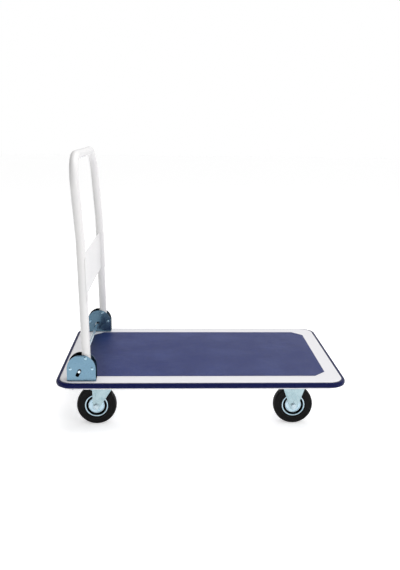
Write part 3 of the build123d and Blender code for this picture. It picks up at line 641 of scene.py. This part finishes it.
wheel_parts = {
    "tyre": (model_tyre(), "tyre_rubber"),
    "rim": (model_rim(), "rim_zinc"),
    "hub": (model_hub(), "hub_steel"),
}
for wheel_name in WHEELS:
    wheel_middle = middle(f"tyre_{wheel_name}")
    for part_name, (pattern, slot_name) in wheel_parts.items():
        part = copy_at(pattern, f"wheel_{part_name}_{wheel_name}", wheel_middle)
        finish_piece(part, f"wheel_{wheel_name}", slot_name, f"{part_name}_{wheel_name}")
for pattern, _ in wheel_parts.values():
    bpy.data.objects.remove(pattern)


# ---- fasteners -----------------------------------------------------------------------
bolt_radius = 4.0 * MM
hex_flats = 13.0 * MM
fork_face = 20.0 * MM  # the outside of a fork leg, from the wheel's middle


def hexagon_bar(name, foot, top, axis):
    """A hexagon between two places along its axis, its corners turned down at both ends. The
    cutter runs past both ends, so that no two faces of the cut lie on each other."""
    length = (top - foot).length
    corner_radius = hex_flats / math.sqrt(3)
    bpy.ops.object.select_all(action="DESELECT")
    bpy.ops.mesh.primitive_cylinder_add(vertices=6, radius=corner_radius, depth=length)
    bar = named(name)
    chamfer = 1.1 * MM
    cap = hex_flats / 2 - 0.2 * MM
    overrun = 0.02 * MM
    slope = 3 / 1.6
    end = length / 2 + overrun
    cone = min(1.6 * chamfer, 0.9 * length / 2)
    cone_radius = cap + cone * slope
    profile = [
        (0, end), (cap, end), (cone_radius, end - cone), (cone_radius, cone - end),
        (cap, -end), (0, -end),
    ]
    cutter = turned(f"{name}_cutter", profile, (0, 0, 0), (0, 0, 1), 48)
    common = bar.modifiers.new("turned_down", "BOOLEAN")
    common.operation = "INTERSECT"
    common.object = cutter
    apply_modifiers(bar)
    bpy.data.objects.remove(cutter)
    bar.rotation_mode = "QUATERNION"
    bar.rotation_quaternion = Vector(axis).to_track_quat("Z", "Y")
    bar.location = (foot + top) / 2
    take_up(bar)
    bpy.ops.object.transform_apply(location=True, rotation=True, scale=True)
    round_edges(bar, 0.25 * MM, 2, 18)
    return bar


def shank(name, foot, top, axis):
    """A bolt's shank with a chamfered end, and a few turned threads next to it."""
    length = (top - foot).length
    pitch = 1.25 * MM
    depth = 0.45 * MM
    threads = 8
    profile = [(0, 0), (bolt_radius - 1.2 * MM, 0)]
    for turn in range(threads):
        rise = 0.6 * MM + turn * pitch
        profile += [(bolt_radius - depth, rise), (bolt_radius, rise + pitch / 2)]
    profile += [(bolt_radius, length), (0, length)]
    return turned(name, profile, foot, axis, 32)


def wheel_axle(wheel_name):
    """The axle bolt with its hexagon head outside the fork, and a collared nut inside it."""
    centre = middle(f"tyre_{wheel_name}")
    outward = 1 if centre.y > 0 else -1
    out = Vector((0, outward, 0))
    face = fork_face
    head = 5.3 * MM
    nut = 6.5 * MM
    washer = 1.2 * MM
    bolt_end = centre - out * (face + nut + 2.0 * MM)
    rod = shank("axle_shank", bolt_end, centre + out * (face + 1.0 * MM), out)
    collar_profile = [
        (0, 0), (8.2 * MM, 0), (8.2 * MM, 0.8 * MM), (7.0 * MM, washer), (0, washer),
    ]
    collar = turned("axle_collar", collar_profile, centre + out * face, out, 48)
    round_edges(collar, 0.2 * MM, 2)
    head_bar = hexagon_bar(
        "axle_head", centre + out * (face + washer * 0.6), centre + out * (face + head), out
    )
    bolt = join_pieces([head_bar, collar, rod], f"axle_bolt_turned_{wheel_name}")
    nut_bar = hexagon_bar(
        "axle_nut", centre - out * (face + 0.9 * MM), centre - out * (face + nut - 1.2 * MM), -out
    )
    insert_profile = [
        (bolt_radius, 0), (6.0 * MM, 0), (6.0 * MM, 3.2 * MM), (4.6 * MM, 4.6 * MM),
        (bolt_radius, 4.6 * MM),
    ]
    insert = turned("nut_crown", insert_profile, centre - out * (face + 1.9 * MM), -out, 48)
    round_edges(insert, 0.3 * MM, 2)
    flange_profile = [
        (bolt_radius, 0), (8.2 * MM, 0), (8.2 * MM, 0.7 * MM), (6.6 * MM, 1.3 * MM),
        (bolt_radius, 1.3 * MM),
    ]
    flange = turned("nut_flange", flange_profile, centre - out * face, -out, 48)
    round_edges(flange, 0.2 * MM, 2)
    nut_piece = join_pieces([nut_bar, insert, flange], f"axle_nut_turned_{wheel_name}")
    return bolt, nut_piece


axle_groups = {
    "fixed": ("chassis", ("fixed_near", "fixed_far")),
    "swivel_near": ("swivel_near", ("swivel_near",)),
    "swivel_far": ("swivel_far", ("swivel_far",)),
}
for group_name, (body, group_wheels) in axle_groups.items():
    made = [wheel_axle(wheel_name) for wheel_name in group_wheels]
    bolts = join_pieces([bolt for bolt, _ in made], f"turned_axle_bolt_{group_name}")
    nuts = join_pieces([nut for _, nut in made], f"flanged_axle_nut_{group_name}")
    finish_piece(bolts, body, "bolt_zinc", f"axle_bolt_{group_name}")
    finish_piece(nuts, body, "bolt_zinc", f"axle_nut_{group_name}")

# caster bolts: a flanged hexagon head under each plate corner
bolts_low, bolts_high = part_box("caster_bolts")
_, plate_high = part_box("swivel_plate_near")
plate_sheet = 2.5 * MM
plate_under = plate_high.z - plate_sheet
bolt_pitch = (80.0 * MM, 50.0 * MM)
head_foot = Vector((0, 0, bolts_low.z))
seat = Vector((0, 0, plate_under))
down = (0, 0, -1)
head_bar = hexagon_bar("caster_head", head_foot, seat - Vector((0, 0, 0.8 * MM)), down)
skirt_profile = [(0, 0), (8.0 * MM, 0), (8.0 * MM, 0.7 * MM), (6.8 * MM, 1.5 * MM), (0, 1.5 * MM)]
skirt = turned("caster_flange", skirt_profile, seat, down, 48)
round_edges(skirt, 0.2 * MM, 2)
stem = shank("caster_shank", Vector((0, 0, bolts_high.z)), seat, down)
pattern = join_pieces([head_bar, skirt, stem], "caster_bolt_pattern")
copies = []
for node_name in ("swivel_plate_near", "swivel_plate_far", "fixed_fork_near", "fixed_fork_far"):
    centre = middle(node_name)
    for i in (-1, 1):
        for j in (-1, 1):
            shift = (centre.x + i * bolt_pitch[0] / 2, centre.y + j * bolt_pitch[1] / 2, 0)
            copies.append(copy_at(pattern, "caster_bolt_copy", shift))
bpy.data.objects.remove(pattern)
finish_piece(join_pieces(copies, "flanged_caster_bolts"), "chassis", "bolt_zinc", "caster_bolts")

# bracket bolts: a domed head with a round socket, and a chamfered nut under the frame
bracket_y = middle("bracket_far").y
bolt_low, bolt_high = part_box("bracket_bolts")
nut_low, nut_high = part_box("bracket_nuts")
head_height = 4.4 * MM
head_radius = 7.0 * MM
head_seat = bolt_high.z - head_height
bolt_rows = (bolt_low.x + head_radius, bolt_high.x - head_radius)
socket = 2.3 * MM
socket_depth = 2.4 * MM
head_edge = 0.9 * MM
dome = [(0, 0), (head_radius, 0), (head_radius, head_edge)]
dome += [
    (head_radius * math.cos(t), head_edge + (head_height - head_edge) * math.sin(t))
    for t in [math.radians(a) for a in (18, 36, 54)]
]
dome += [(socket + 0.3 * MM, head_height), (socket, head_height - 0.3 * MM)]
dome += [(socket, head_height - socket_depth), (0, head_height - socket_depth - 0.6 * MM)]
head = turned("bracket_bolt_head", dome, (0, 0, head_seat), (0, 0, 1), 48)
round_edges(head, 0.15 * MM, 2, 40)
stem = shank("bracket_bolt_shank", Vector((0, 0, bolt_low.z)), Vector((0, 0, head_seat)), (0, 0, 1))
bolt_pattern = join_pieces([head, stem], "bracket_bolt_pattern")
nut_pattern = hexagon_bar(
    "bracket_nut_pattern", Vector((0, 0, nut_low.z)), Vector((0, 0, nut_high.z)), (0, 0, 1)
)
bolt_copies, nut_copies = [], []
for x in bolt_rows:
    for side in SIDES.values():
        shift = (x, side * bracket_y, 0)
        bolt_copies.append(copy_at(bolt_pattern, "bracket_bolt_copy", shift))
        nut_copies.append(copy_at(nut_pattern, "bracket_nut_copy", shift))
bpy.data.objects.remove(bolt_pattern)
bpy.data.objects.remove(nut_pattern)
socket_bolts = join_pieces(bolt_copies, "button_head_bracket_bolts")
finish_piece(socket_bolts, "chassis", "bolt_zinc", "bracket_bolts")
bracket_nuts = join_pieces(nut_copies, "chamfered_bracket_nuts")
finish_piece(bracket_nuts, "chassis", "bolt_zinc", "bracket_nuts")

# ---- bracket pins, lock rod and springs ------------------------------------------------
bracket_half = (bracket_high.y - bracket_low.y) / 2
pin_radius = 3.0 * MM
pin_head = 4.3 * MM
pin_head_height = 2.0 * MM
pin_head_edge = 0.4 * MM
pin_nodes = {"pivot_pins": pin_radius, "stop_pins": 4.0 * MM, "spring_pins": 4.0 * MM}
for node_name, shoulder in pin_nodes.items():
    pin_middle = middle(node_name)
    gap_half = bracket_half - bracket_sheet
    head = [(pin_head, bracket_half), (pin_head, bracket_half + pin_head_edge)]
    dome_rise = pin_head_height - pin_head_edge
    head += [
        (pin_head * math.cos(t), bracket_half + pin_head_edge + dome_rise * math.sin(t))
        for t in [math.radians(a) for a in (20, 40, 60, 76)]
    ]
    half = [(shoulder, 0), (shoulder, gap_half), (pin_radius, gap_half), (pin_radius, bracket_half)]
    half += head + [(0, bracket_half + pin_head_height)]
    profile = [(radius, -along) for radius, along in reversed(half[1:])] + half[1:]
    pins = []
    for side_name, side in SIDES.items():
        centre = (pin_middle.x, side * bracket_y, pin_middle.z)
        pins.append(turned(f"rivet_{side_name}", profile, centre, (0, 1, 0), 48))
    rivets = join_pieces(pins, f"domed_{node_name}")
    round_edges(rivets, 0.12 * MM, 2, 40)
    finish_piece(rivets, "chassis", "pin_zinc", node_name)

rod_low, rod_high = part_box("lock_rod")
rod_radius = (rod_high.z - rod_low.z) / 2
rod_half = (rod_high.y - rod_low.y) / 2
rod_middle = middle("lock_rod")
rod_profile = [(0, rod_half), (rod_radius - 1.0 * MM, rod_half), (rod_radius, rod_half - 1.0 * MM)]
rod_profile += [(rod_radius, -rod_half + 1.0 * MM), (rod_radius - 1.0 * MM, -rod_half)]
rod_profile += [(0, -rod_half)]
rod = turned("foot_lock_rod", rod_profile, rod_middle, (0, 1, 0), 48)
round_edges(rod, 0.3 * MM, 3, 30)
finish_piece(rod, "lock_bar", "rod_zinc", "lock_rod")

clips_low, clips_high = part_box("lock_clips")
clip_radius = (clips_high.z - clips_low.z) / 2
clip_sheet = 0.8 * MM
clips = []
for side_name, side in SIDES.items():
    clip_y = side * clips_high.y
    profile = [
        (rod_radius, 0), (clip_radius, 0), (clip_radius, -clip_sheet), (rod_radius, -clip_sheet),
    ]
    centre = (rod_middle.x, clip_y, rod_middle.z)
    clips.append(turned(f"clip_{side_name}", profile, centre, (0, side, 0), 48))
retaining = join_pieces(clips, "retaining_rings")
round_edges(retaining, 0.15 * MM, 2)
finish_piece(retaining, "lock_bar", "spring_steel", "lock_clips")

spring_pin = middle("spring_pins")
wire = 0.8 * MM
coil_radius = 5.2 * MM
whole_turns = 3
coil_pitch = 1.64 * MM
to_rod = Vector((rod_middle.x - spring_pin.x, 0, rod_middle.z - spring_pin.z)).normalized()
below = Vector((to_rod.z, 0, -to_rod.x))


def torsion_spring(side_name, side):
    """A wound torsion spring on its pin: one leg stands on the bracket's web, and the arm leaves
    the foot of the coil to bear up under the lock rod."""
    coil_foot = side * (bracket_y - bracket_half + bracket_sheet + 2.4 * MM)
    coil_centre = Vector((spring_pin.x, coil_foot, spring_pin.z))
    leg_length = spring_pin.z - head_seat - wire / 2
    bpy.ops.object.select_all(action="DESELECT")
    bpy.ops.mesh.primitive_circle_add(
        vertices=12, radius=wire, fill_type="NGON",
        location=coil_centre + Vector((coil_radius, 0, -leg_length)),
    )
    spring = named(f"torsion_spring_{side_name}")
    bpy.ops.object.mode_set(mode="EDIT")
    bpy.ops.mesh.extrude_region_move(TRANSFORM_OT_translate={"value": (0, 0, leg_length)})
    leaves_at = math.tau + math.atan2(below.z, below.x)
    steps = 90
    turn = (whole_turns * math.tau + leaves_at) / steps
    for step in range(steps):
        bpy.ops.mesh.extrude_region_move(
            TRANSFORM_OT_translate={"value": (0, side * coil_pitch * turn / math.tau, 0)}
        )
        bpy.ops.transform.rotate(value=turn, orient_axis="Y", center_override=coil_centre)
    rod_centre = Vector((rod_middle.x, 0, rod_middle.z))
    arm_start = Vector((spring_pin.x, 0, spring_pin.z)) + below * coil_radius
    arm_end = rod_centre + below * (rod_radius + wire + 0.3 * MM) + to_rod * 4.0 * MM
    bpy.ops.mesh.extrude_region_move(TRANSFORM_OT_translate={"value": arm_end - arm_start})
    bpy.ops.mesh.select_all(action="SELECT")
    bpy.ops.mesh.normals_make_consistent(inside=False)
    bpy.ops.object.mode_set(mode="OBJECT")
    bpy.ops.object.transform_apply(location=True, rotation=True, scale=True)
    bpy.ops.object.shade_smooth_by_angle(angle=math.radians(50))
    spring.data.materials.append(FINISHES["spring_steel"])
    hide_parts(f"lock_spring_{side_name}")
    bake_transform(spring)


for side_name, side in SIDES.items():
    torsion_spring(side_name, side)

# ---- pressed and moulded parts, with their edges rounded -------------------------------
ROUNDED = {
    # node: (piece, edge radius in mm, segments)
    "bracket_near": ("pressed_bracket_near", 0.35, 3),
    "bracket_far": ("pressed_bracket_far", 0.35, 3),
    "fixed_fork_near": ("pressed_fork_fixed_near", 0.45, 3),
    "fixed_fork_far": ("pressed_fork_fixed_far", 0.45, 3),
    "swivel_fork_near": ("pressed_fork_swivel_near", 0.45, 3),
    "swivel_fork_far": ("pressed_fork_swivel_far", 0.45, 3),
    "swivel_plate_near": ("pressed_plate_near", 0.4, 2),
    "swivel_plate_far": ("pressed_plate_far", 0.4, 2),
    "crossmember_handle_end": ("folded_crossmember_handle_end", 0.6, 2),
    "crossmember_load_end": ("folded_crossmember_load_end", 0.6, 2),
    "stiffener_rails": ("folded_stiffener_rails", 0.5, 2),
    "handle_panel": ("folded_handle_panel", 0.35, 2),
    "handle_end_plugs": ("moulded_end_plugs", 0.6, 3),
    "king_pins": ("headed_king_pins", 0.4, 2),
    "bumper_strip": ("extruded_bumper", 0.4, 3),
    "deck_mat": ("laid_vinyl_mat", 0.35, 3),
}
for node_name, (piece_name, radius, segments) in ROUNDED.items():
    piece = softened(node_name, piece_name, radius * MM, segments)
    finish_piece(piece, BODY_OF_NODE[node_name], SLOT_OF_NODE[node_name], node_name)


def pressed_rib(name, foot, top, foot_half, top_half, height):
    """A swage down a fork leg: a long low ridge, broad at the crown and narrow at the axle."""
    length = (top - foot).length
    rise = [0.0, 0.04, 0.12, 0.3, 0.6, 0.88, 0.97, 1.0]
    swell = [0.0, 0.45, 0.75, 1.0, 1.0, 1.0, 0.7, 0.0]
    profile = [
        ((foot_half + (top_half - foot_half) * share) * wide, length * share)
        for share, wide in zip(rise, swell)
    ]
    rib = turned(name, profile, foot, (top - foot).normalized(), 40)
    take_up(rib)
    bpy.ops.object.mode_set(mode="EDIT")
    bpy.ops.mesh.select_all(action="SELECT")
    bpy.ops.transform.resize(value=(1, height / top_half, 1), center_override=foot)
    bpy.ops.mesh.normals_make_consistent(inside=False)
    bpy.ops.object.mode_set(mode="OBJECT")
    bpy.ops.object.shade_smooth()
    return rib


rib_foot_rise = 9.5 * MM
rib_top_rise = 52.0 * MM
rib_foot_half = 3.2 * MM
rib_top_half = 9.5 * MM
rib_height = 1.5 * MM
swivel_leg_lean = 9.0 * MM
for wheel_name in WHEELS:
    kind, side_name = wheel_name.split("_")
    axle = middle(f"tyre_{wheel_name}")
    lean_x = 0.0 if kind == "fixed" else swivel_leg_lean
    ribs = []
    for face in (-1, 1):
        face_y = axle.y + face * fork_face
        foot = Vector((axle.x, face_y, axle.z + rib_foot_rise))
        top = Vector((axle.x + lean_x, face_y, axle.z + rib_top_rise))
        ribs.append(pressed_rib("leg_rib", foot, top, rib_foot_half, rib_top_half, rib_height))
    rib_pair = join_pieces(ribs, f"swaged_leg_ribs_{wheel_name}")
    finish_piece(rib_pair, BODY_OF_NODE[f"{kind}_fork_{side_name}"], "fork_zinc")


# ---- floor, light and camera -----------------------------------------------------------
world = bpy.data.worlds.new("white_studio")
world.use_nodes = True
bpy.context.scene.world = world
world.node_tree.nodes.clear()
direction = node(world.node_tree, "ShaderNodeTexCoord")
parts = node(world.node_tree, "ShaderNodeSeparateXYZ", {}, {"Vector": (direction, "Generated")})
side_light = node(world.node_tree, "ShaderNodeMapRange", {"interpolation_type": "SMOOTHSTEP"}, {
    "Value": (parts, "X"), "From Min": -0.9, "From Max": 0.5, "To Min": 0.14, "To Max": 0.8,
})
white = (1.0, 1.0, 1.0, 1.0)
lighting = node(world.node_tree, "ShaderNodeBackground", {}, {
    "Color": white, "Strength": (side_light, 0),
})
backdrop = node(world.node_tree, "ShaderNodeBackground", {}, {"Color": white, "Strength": 1.0})
ray = node(world.node_tree, "ShaderNodeLightPath")
seen = node(world.node_tree, "ShaderNodeMixShader", {}, {
    0: (ray, "Is Camera Ray"), 1: (lighting, 0), 2: (backdrop, 0),
})
node(world.node_tree, "ShaderNodeOutputWorld", {}, {"Surface": (seen, 0)})
bpy.context.scene.view_settings.view_transform = "Standard"

bpy.ops.object.select_all(action="DESELECT")
bpy.ops.mesh.primitive_plane_add(size=30.0, location=(0, 0, 0))
floor = named("studio_floor")
floor_material, floor_tree, floor_shader, floor_place = new_material("matt_white_paper", {
    "Roughness": 0.9, "Specular IOR Level": 0.1,
    "Emission Color": (1.0, 1.0, 1.0, 1.0), "Emission Strength": 0.46,
})
fibre = node(floor_tree, "ShaderNodeTexNoise", {}, {"Vector": floor_place, "Scale": per_metre(60)})
paper = node(floor_tree, "ShaderNodeMix", {"data_type": "RGBA"}, {
    0: (fibre, "Fac"), 6: paint("FAFAFA"), 7: paint("FDFDFD"),
})
plug_in(floor_tree, paper, 2, floor_shader, "Base Color")
floor.data.materials.append(floor_material)


def softbox(name, place, target, size, watts):
    """A square studio softbox at place, turned to its target."""
    light = bpy.data.lights.new(name, "AREA")
    light.shape = "SQUARE"
    light.size = size
    light.energy = watts
    lamp = bpy.data.objects.new(name, light)
    lamp.location = place
    lamp.rotation_mode = "QUATERNION"
    lamp.rotation_quaternion = (Vector(target) - Vector(place)).to_track_quat("-Z", "Y")
    bpy.context.scene.collection.objects.link(lamp)


softbox("overhead_box", (0.3, 0.2, 2.6), (0, 0, 0.1), 2.2, 34)
softbox("front_right_box", (1.9, -1.9, 1.5), (0, 0, 0.3), 1.2, 12)

camera_data = bpy.data.cameras.new("studio_camera")
camera_data.lens = 43.2
camera_data.sensor_width = 36.0
camera_data.clip_end = 50.0
camera = bpy.data.objects.new("studio_camera", camera_data)
bpy.context.scene.collection.objects.link(camera)
camera_place = Vector((-72.1, -1858.61, 773.93)) * MM
heading, dip, tilt = math.radians(2.2466), math.radians(13.292), math.radians(0.6893)
camera.matrix_world = (
    Matrix.Translation(camera_place)
    @ Matrix.Rotation(-heading, 4, "Z")
    @ Matrix.Rotation(math.pi / 2 - dip, 4, "X")
    @ Matrix.Rotation(tilt, 4, "Z")
)
bpy.context.scene.camera = camera
